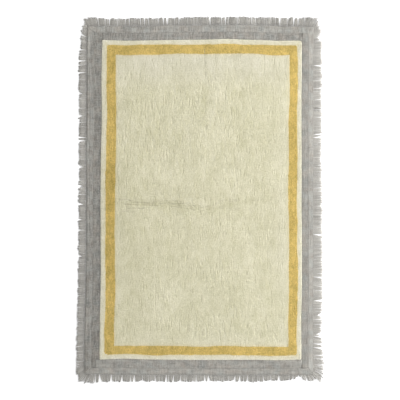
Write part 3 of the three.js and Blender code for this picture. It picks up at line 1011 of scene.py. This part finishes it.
def trim_tape(index):
    strip = STRIPS[index]
    root_ends = corner_reaches(index, root_line, MITRE_GAP)
    header_ends = corner_reaches(index, header_line, MITRE_GAP)
    share = np.linspace(0, 1, round(sum(root_ends) / CLOTH_STEP) + 1)
    inner_along = -header_ends[0] + share * sum(header_ends)
    outer_along = -root_ends[0] + share * sum(root_ends)
    start = np.stack(on_rug(index, inner_along, header_line(index, inner_along)))
    end = np.stack(on_rug(index, outer_along, root_line(index, outer_along)))
    outer_roll = (strip["outer_roll"], TAPE_ROLLS["outer_reach"])
    made = woven_band(
        "trim_tape", "fringe", index, start, end, TAPE_HEIGHTS, (TAPE_ROLLS["inner"], outer_roll),
        strip["ridge"], 300 + 10 * index, tape_finishes[index],
    )
    return made, (strip["tape"] / 1000, sum(root_ends) / 1000)


tapes = [trim_tape(index) for index in range(4)]


# The fringe: hundreds of short twisted cotton yarns that leave the tape's outer edge. They were
# cut by hand, lie on the floor in uneven locks, and fan out round the corners.

# Each side's fringe: how far it reaches, its number of locks, how often they stand open at places
# along it and how wide, and how its tips wander. At its two ends trims are what the tips are longer
# or shorter by, turns how far the yarns fan round, and filled how far those fans are thick and even.
# pinch draws small bunches together, root is the height at which the yarns leave the tape, slim how
# thin they are drawn there, and rises how far they lie on one another. The last column is painted
# light on the yarns, at their roots, further out and at their tips: painted shade at the roots, where
# the tape's edge shades them, and each side and its tips lighter or darker as the light falls.
FRINGES = by_side(
    fringe=(32.5, 42.5, 40.5, 37.5),
    locks=(59, 90, 59, 90),
    open=(
        (0.5, 0.55, 0.45, 0.5, 0.6),
        (0.3, 0.22, 0.17, 0.22, 0.25),
        (0.5, 0.5, 0.55, 0.5, 0.45),
        (0.1, 0.18, 0.17, 0.06, 0.01),
    ),
    spread=(1.5, 0.9, 1.0, 0.95),
    tips=(
        (8, 4, 0, 1, -1, -3, -1.5, -7, -8),
        (12, 0, 4, 3, 1, -2, -2, -1, -3),
        (1, 2, 4, 6, 2, -1, -3, -7, -2),
        (-10, 4, 0, -1, -2, -2, -1, 2, 5),
    ),
    trims=((-3, 0), (-10, -15), (-4, -10), (-8, -6)),
    turns=((0.8, 1), (1, 1.4), (0.5, 0.45), (2.0, 1.2)),
    filled=((0.4, 0), (0, 0.6), (0.6, 1), (1, 1)),
    pinch=(0.3, 0.2, 0.3, 0.14),
    root=(0.7, 1.35, 0.7, 0.6),
    slim=(0.5, 0.85, 0.5, 0.5),
    rises=(1.1, 0.45, 1.1, 1.1),
    shades=((0.98, 1.03, 0.94), (1.12, 1.09, 1.08), (0.83, 0.965, 0.93), (0.82, 0.985, 1.24)),
)
# Bays are short places in the fringe's edge: where along the side, how far each way, and how deep.
BAYS = [
    [(484, 20, 22)],
    [(-662, 6, 22), (-571, 6, 16), (802, 7, 16)],
    [],
    [
        (-522, 4, 18), (-413, 4, 20), (-160, 4, 22), (-66, 5, 19),
        (28, 4, 19), (103, 4, 16), (153, 4, 16), (286, 4, 20),
    ],
]
TRIM_REACH = 45
PLACE_SPREAD = 0.44
LENGTH_SPREAD = 5
SKEW_SPREAD = 2.5
LEAN = 0.09
LEAN_WAVE = 2.3
FAN_RUN = 80
FAN_EASE = 1.5
FAN_LENGTH = 0.15
ROOT_GAP = 0.6
CORNER_GAP = 1.4
OPENING = {"closed": -0.01, "least": 0.05, "most": 0.18}
FILLED_SHUT = 0.3
TRAITS = {"place": 1, "lean": 11, "opening": 21, "length": 31, "skew": 41}
SCRAMBLE = {"lock": 12.9898, "trait": 78.233, "scale": 43758.5453}
YARN_PITCH = 2.35
YARN_RADIUS = 1.5
YARN_SIDES = 5
YARN_STEPS = [0, 0.12, 0.3, 0.55, 0.8, 1]
YARN_TAPER = [0.5, 0.6, 0.85, 1, 0.95, 0.6]
SLIM_STEPS = 3
YARN_BURIED = 3.5
YARN_WIDTHS = (0.86, 1.14)
YARN_LIFTS = {"in_bunch": 0.6, "every_other": 0.3, "random": 0.15}
YARN_TONES = {"lock": 0.5, "bunch": 0.6, "own": 0.5}
FLOOR_GAP = 0.05
FLATTENED = 0.6
SPREAD_EASE = 1.3
FALL_EASE = 1.2
YARN_TWIST = 7.0
YARN_RELIEF = 0.0007
YARN_DARK = (0.424, 0.405, 0.37, 1)
YARN_PALE = (0.686, 0.665, 0.612, 1)
BUNCH = {"least": 3, "most": 6}
STRAY = {"share": 0.35, "least": 0.04, "most": 0.2}
# How far yarns scatter in a tidy lock, and how much further where a corner's fan is loose.
SCATTER = {"bunch": (1.1, 1.2), "tip": (0.25, 0.6), "bend": (0.6, 1.5)}
LEAST_YARNS = 4
FILLED_MORE = 0.3
TIP_ROUNDING = 0.8
ROOT_SHADE = 14.0
TIP_SHADE = 9.0


def uneven(lock, index, trait):
    """A number from -0.5 to 0.5 that looks random, the same each time for a lock and a trait."""
    phase = lock * SCRAMBLE["lock"] + (TRAITS[trait] + index) * SCRAMBLE["trait"]
    wave = math.sin(phase) * SCRAMBLE["scale"]
    return wave - math.floor(wave) - 0.5


def lock_parts(index, start, end):
    """The lines between neighbouring locks: where each starts on the tape and how it leans."""
    fringe = FRINGES[index]
    locks = fringe["locks"]
    pitch = (end - start) / locks
    parts = []
    for lock in range(locks + 1):
        is_end = lock in (0, locks)
        shift = 0 if is_end else PLACE_SPREAD * uneven(lock, index, "place")
        root = start + (lock + shift) * pitch
        fan_start = max(0, 1 - (root - start) / FAN_RUN) ** FAN_EASE
        fan_end = max(0, 1 - (end - root) / FAN_RUN) ** FAN_EASE
        lean = LEAN * (math.sin(lock / LEAN_WAVE + index) + uneven(lock, index, "lean"))
        turn = fan_end * fringe["turns"][1] - fan_start * fringe["turns"][0]
        filled = fan_start * fringe["filled"][0] + fan_end * fringe["filled"][1]
        often = eased(fringe["open"], np.float64((root - start) / (end - start)))
        openness = (uneven(lock, index, "opening") + 0.5) / often
        opened = openness < 1 and filled < FILLED_SHUT
        opening = OPENING["least"] + (OPENING["most"] - OPENING["least"]) * openness ** 2
        opening = opening * fringe["spread"]
        parts.append({
            "root": root,
            "slope": turn + lean * (1 - fan_start) * (1 - fan_end),
            "gap": CORNER_GAP if is_end else ROOT_GAP * opened,
            "opening": opening if opened else OPENING["closed"],
            "fan": fan_start + fan_end,
        })
    return parts


def bay_depth(index, along):
    """How much shorter a yarn is where the fringe's edge has a bay."""
    return sum(deep * math.exp(-(((along - at) / reach) ** 2)) for at, reach, deep in BAYS[index])


def lock_yarns(index, near, far, length_shift, skew, draw):
    """Each yarn of a lock: its place between the lock's edges, at its root and at its tip."""
    fringe = FRINGES[index]
    middle = (near["root"] + far["root"]) / 2
    fan = min(1.0, near["fan"] + far["fan"])
    filled = fan * fringe["filled"][0 if middle < 0 else 1]
    loose = fan * (1 - filled)
    width = far["root"] - near["root"]
    count = max(LEAST_YARNS, round(width / YARN_PITCH * (1 + FILLED_MORE * filled)))
    tips = root_reach(index) + fringe["fringe"]
    tips = tips + eased(fringe["tips"], side_share(index, middle, root_reach))
    before, after = both_reaches(index, root_reach)
    for trim, inset in zip(fringe["trims"], (middle + before, after - middle)):
        tips = tips + trim * (1 - smooth(inset / TRIM_REACH))
    length = float(tips - root_line(index, middle)) + length_shift
    reach = length / math.hypot(1, (near["slope"] + far["slope"]) / 2) * (1 + FAN_LENGTH * fan)

    def scatter(what):
        tidy, more = SCATTER[what]
        return draw.normal() * (tidy + more * loose)

    lock_tone = YARN_TONES["lock"] * draw.normal()
    pinch = fringe["pinch"] * (1 - filled)
    rows = []
    while len(rows) < count:
        first = len(rows)
        size = min(int(draw.integers(BUNCH["least"], BUNCH["most"])), count - first)
        gathered = (first + size / 2) / count
        tone = lock_tone + YARN_TONES["bunch"] * draw.normal()
        bunch_reach = scatter("bunch")
        for yarn in range(first, first + size):
            place = (yarn + 0.5) / count
            off_middle = (2 * (yarn - first) + 1) / size - 1
            tip = place + pinch * (gathered - place) + scatter("tip") / count
            stray = draw.uniform(STRAY["least"], STRAY["most"]) * (draw.uniform() < STRAY["share"])
            tip = tip + stray * ((yarn == count - 1) - (yarn == 0)) * (1 - fan)
            rounding = TIP_ROUNDING * abs(2 * place - 1) ** 3
            bay = bay_depth(index, near["root"] + width * place)
            lift = YARN_LIFTS["in_bunch"] * (1 - off_middle ** 2) + YARN_LIFTS["every_other"] * (yarn % 2)
            rows.append({
                "near": near,
                "far": far,
                "root": place,
                "tip": tip,
                "reach": reach + skew * (2 * place - 1) - rounding - bay + bunch_reach + draw.normal(),
                "bend": scatter("bend"),
                "lift": lift + draw.uniform(0, YARN_LIFTS["random"]),
                "radius": YARN_RADIUS * draw.uniform(*YARN_WIDTHS),
                "tone": tone + YARN_TONES["own"] * draw.normal(),
            })
    return rows


def yarn_finish():
    """Soft grey cotton yarn with twisted plies, and painted shade in the grooves and at the buried root.
    """
    finish = Finish("grey twisted cotton yarn")
    tone = finish.number("tone")
    lift = finish.number("lift")
    ply = (finish.number("run") / YARN_TWIST + finish.number("around") * 2 + 3 * tone).wave()
    fleck = finish.unevenness((500, 500, 500), detail=3.0)
    colour = finish.mixed(0.5 + 0.22 * tone + 1.2 * fleck, YARN_DARK, YARN_PALE)
    # Painted shade: darker in the grooves of the twist and on the yarns that lie lower.
    bright = (0.93 + 0.07 * ply) * (0.86 + 0.14 * lift) * finish.number("painted_light_and_tone")
    return finish.cotton(finish.shaded(colour, bright), ply + 1.4 * fleck, YARN_RELIEF, sheen=0.15)


def round_yarns(centre, ahead, radius, sides, turn):
    """Points of the rings round each yarn's centre line, and the faces over them."""
    ahead = ahead / np.linalg.norm(ahead, axis=-1, keepdims=True)
    sideways = np.cross(ahead, (0, 0, 1))
    sideways /= np.linalg.norm(sideways, axis=-1, keepdims=True)
    upward = np.cross(sideways, ahead)
    angle = (np.arange(sides) / sides * math.tau + turn)[:, None]
    round_it = np.cos(angle) * sideways[:, :, None] + np.sin(angle) * upward[:, :, None]
    points = centre[:, :, None] + radius[..., None, None] * round_it
    return points.reshape(-1, 3), closed_rings(*centre.shape[:2], sides)


def fringe_yarns(index, finish):
    fringe = FRINGES[index]
    draw = np.random.default_rng(400 + index)
    root_start, root_end = corner_reaches(index, root_line, MITRE_GAP)
    parts = lock_parts(index, -root_start, root_end)
    rows = []
    for lock, (near, far) in enumerate(zip(parts, parts[1:])):
        length_shift = LENGTH_SPREAD * uneven(lock, index, "length")
        skew = SKEW_SPREAD * uneven(lock, index, "skew")
        rows += lock_yarns(index, near, far, length_shift, skew, draw)

    def column(name, part=None):
        return np.array([(row[part] if part else row)[name] for row in rows])[:, None]

    def edge(part, sign, out):
        clear = column("gap", part) / 2 + column("opening", part) * np.maximum(out, 0)
        return column("root", part) + column("slope", part) * out + sign * clear

    def between_edges(share, out):
        near, far = edge("near", 1, out), edge("far", -1, out)
        return near + (far - near) * share

    root, reach, lift = column("root"), column("reach"), column("lift")
    out = -YARN_BURIED + (reach + YARN_BURIED) * np.array(YARN_STEPS)
    travelled = np.clip(out / reach, 0, 1)
    along = between_edges(root + (column("tip") - root) * travelled ** SPREAD_EASE, out)
    along = along + column("bend") * np.sin(math.pi * travelled) * travelled
    start = between_edges(root, 0)
    x, y = on_rug(index, along, root_line(index, start) + out)
    taper = np.array(YARN_TAPER)
    taper[:SLIM_STEPS] = np.maximum(taper[:SLIM_STEPS], fringe["slim"])
    radius = column("radius") * taper
    low = radius + FLOOR_GAP
    lie = low + fringe["rises"] * lift * (1 - FLATTENED * travelled ** 2)
    z = fringe["root"] + (lie - fringe["root"]) * travelled ** FALL_EASE
    centre = np.stack([x, y, np.maximum(z, low)], -1)
    points, faces = round_yarns(centre, np.gradient(centre, axis=1), radius, YARN_SIDES, -math.pi / 2)

    # Painted light on the yarns: shade at their roots, where the tape's edge shades them, each side and
    # its tips lighter or darker as the light falls, and lighter or darker places along the side.
    at_root, further, at_tip = fringe["shades"]
    painted_light_and_tone = at_root + (further - at_root) * smooth(out / ROOT_SHADE)
    painted_light_and_tone = painted_light_and_tone + (at_tip - further) * (1 - smooth((reach - out) / TIP_SHADE))
    painted_light_and_tone = painted_light_and_tone * eased(STRIPS[index]["dye"], (start + root_start) / (root_start + root_end))
    shape = (*out.shape, YARN_SIDES)
    numbers = {"run": out, "tone": column("tone"), "lift": lift, "painted_light_and_tone": painted_light_and_tone}
    numbers = {number: np.broadcast_to(values[..., None], shape) for number, values in numbers.items()}
    numbers["around"] = np.broadcast_to(np.arange(YARN_SIDES) / YARN_SIDES, shape)
    side = SIDES[index]["name"]
    return sewn_piece(
        f"fringe_yarns_{side}", points, faces, finish, [f"fringe_{side}"], numbers
    )


grey_yarn = yarn_finish()
fringes = [fringe_yarns(index, grey_yarn) for index in range(4)]


# The sewing: grey cotton thread in long running stitches. One row joins each tape to its strip,
# and one runs along the tape's outer edge, where it holds the fringe's roots.
STITCH = {"pitch": 7.0, "length": 4.8, "radius": 0.55, "lift": 0.3, "sides": 4}
STITCH_TAPER = [0.55, 1.0, 0.55]
ROOT_STITCH = {"inset": 3.0, "height": 2.3, "short": 8}
SEAM_STITCH = {"inset": -2.0, "height": 4.9, "short": 4}
THREAD_DARK = (0.31, 0.30, 0.273, 1)
THREAD_PALE = (0.45, 0.435, 0.397, 1)


def thread_finish():
    finish = Finish("dark grey sewing thread")
    fleck = finish.unevenness((700, 700, 700), detail=2.0)
    colour = finish.mixed(0.5 + fleck, THREAD_DARK, THREAD_PALE)
    return finish.cotton(colour, fleck, 0.0003)


def stitch_row(index, line, kind, draw):
    """The centre lines of the stitches along a line of a side, as three points each."""
    first, last = corner_reaches(index, line, kind["short"])
    count = round((first + last) / STITCH["pitch"])
    along = -first + (np.arange(count) + 0.5) * (first + last) / count
    step = STITCH["length"] / 2 * draw.uniform(0.85, 1.1, count)
    places = []
    for share in (-1, 0, 1):
        spot = along + share * step
        x, y = on_rug(index, spot, line(index, spot) - kind["inset"])
        rise = kind["height"] + (STITCH["lift"] if share == 0 else -STITCH["lift"])
        places.append(np.stack([x, y, np.full(count, rise)], -1))
    return np.stack(places, 1)


def seam_stitches(index, finish):
    draw = np.random.default_rng(500 + index)
    roots = stitch_row(index, root_line, ROOT_STITCH, draw)
    seams = stitch_row(index, header_line, SEAM_STITCH, draw)
    centre = np.concatenate([roots, seams])
    ahead = centre[:, 2:] - centre[:, :1]
    radius = STITCH["radius"] * np.array(STITCH_TAPER)
    points, faces = round_yarns(centre, ahead, radius, STITCH["sides"], 0.0)
    side = SIDES[index]["name"]
    return sewn_piece(
        f"seam_stitches_{side}", points, faces, finish, [f"fringe_{side}"]
    )


thread = thread_finish()
stitches = [seam_stitches(index, thread) for index in range(4)]


# The stage: a plain white floor under a bright, even sky, one large soft light on the right, and
# a camera that looks almost straight down from the photograph's side.
FLOOR_REACH = 60.0
FLOOR_DROP = 0.0004
SKY = 0.65
KEY = {"from": (5.6, 1.2, 2.0), "size": 3.2, "power": 650}
CAMERA = {"elevation": 88.15, "distance": 6.0, "roll": 0.30, "aim": (0.0038, -0.0017)}
LENS = {"lens": 108.8, "sensor_width": 36.0, "clip_end": 200.0}

floor_mesh = bpy.data.meshes.new("floor")
floor_corners = [(-1, -1), (1, -1), (1, 1), (-1, 1)]
floor_points = [(FLOOR_REACH * a, FLOOR_REACH * b, -FLOOR_DROP) for a, b in floor_corners]
floor_mesh.from_pydata(floor_points, [], [(0, 1, 2, 3)])
floor = put_in_scene("floor", floor_mesh)
paper = Finish("white paper floor")
paper_inputs = {
    "Base Color": (0.93, 0.93, 0.93, 1),
    "Roughness": 1.0,
    "Specular IOR Level": 0.0,
    "Emission Color": (1, 1, 1, 1),
    "Emission Strength": 0.22,
}
paper.node("OutputMaterial", {}, {0: paper.node("BsdfPrincipled", {}, paper_inputs)})
floor_mesh.materials.append(paper.material)

sky = bpy.data.worlds.new("bright even sky")
sky.use_nodes = True
sky.node_tree.nodes["Background"].inputs["Color"].default_value = (1, 1, 1, 1)
sky.node_tree.nodes["Background"].inputs["Strength"].default_value = SKY
bpy.context.scene.world = sky
bpy.context.scene.view_settings.view_transform = "Standard"

key = put_in_scene("key_light", bpy.data.lights.new("key_light", "AREA"))
key.data.shape = "SQUARE"
key.data.size = KEY["size"]
key.data.energy = KEY["power"]
key.location = KEY["from"]
key.rotation_mode = "QUATERNION"
key.rotation_quaternion = (-Vector(KEY["from"])).to_track_quat("-Z", "Y")

camera = put_in_scene("camera", bpy.data.cameras.new("camera"))
for setting, value in LENS.items():
    setattr(camera.data, setting, value)
rise = math.radians(CAMERA["elevation"])
back = Vector((0, -math.cos(rise), math.sin(rise)))
camera.location = Vector((*CAMERA["aim"], 0)) + back * CAMERA["distance"]
camera.rotation_mode = "QUATERNION"
roll = Quaternion((0, 0, 1), math.radians(CAMERA["roll"]))
camera.rotation_quaternion = (-back).to_track_quat("-Z", "Y") @ roll
bpy.context.scene.camera = camera
